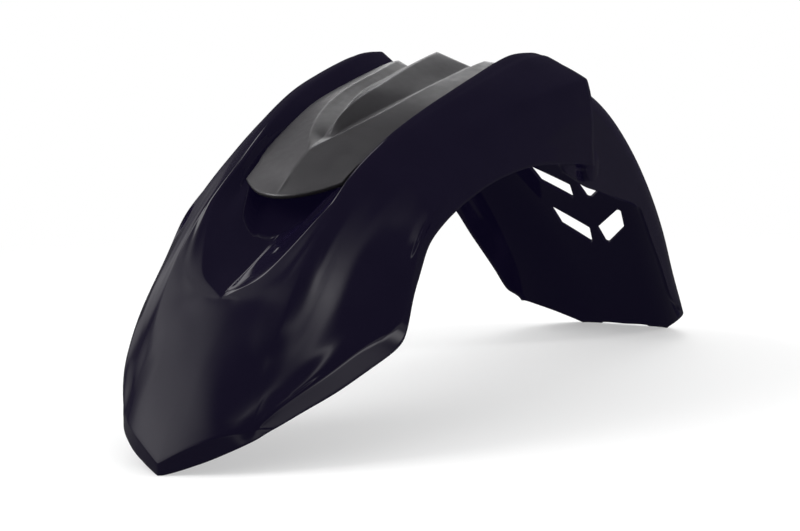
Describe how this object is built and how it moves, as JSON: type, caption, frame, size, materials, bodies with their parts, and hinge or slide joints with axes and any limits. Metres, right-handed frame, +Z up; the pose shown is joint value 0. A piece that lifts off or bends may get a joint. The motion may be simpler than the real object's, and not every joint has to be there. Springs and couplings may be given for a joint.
{
  "type": "motorcycle front mudguard",
  "caption": "Gloss moulded motorcycle front mudguard with a pointed nose, side skirts, vented tail and a matt ridged cover seated in its top channel.",
  "frame": {"origin": "middle of the footprint, on the plane through the front tip and the two rear feet that the part rests on", "axes": "-X towards the front tip, +X towards the rear feet, +Z up, -Y the left side seen from the rider, the centre plane is y = 0"},
  "size_m": [0.6501, 0.1764, 0.2148],
  "materials": {
    "gloss_black": "high gloss moulded plastic",
    "matt_grey": "fine matt moulded plastic"
  },
  "bodies": {
    "root": {"body": "gloss_black", "centre_cover": "matt_grey"}
  },
  "joints": []
}
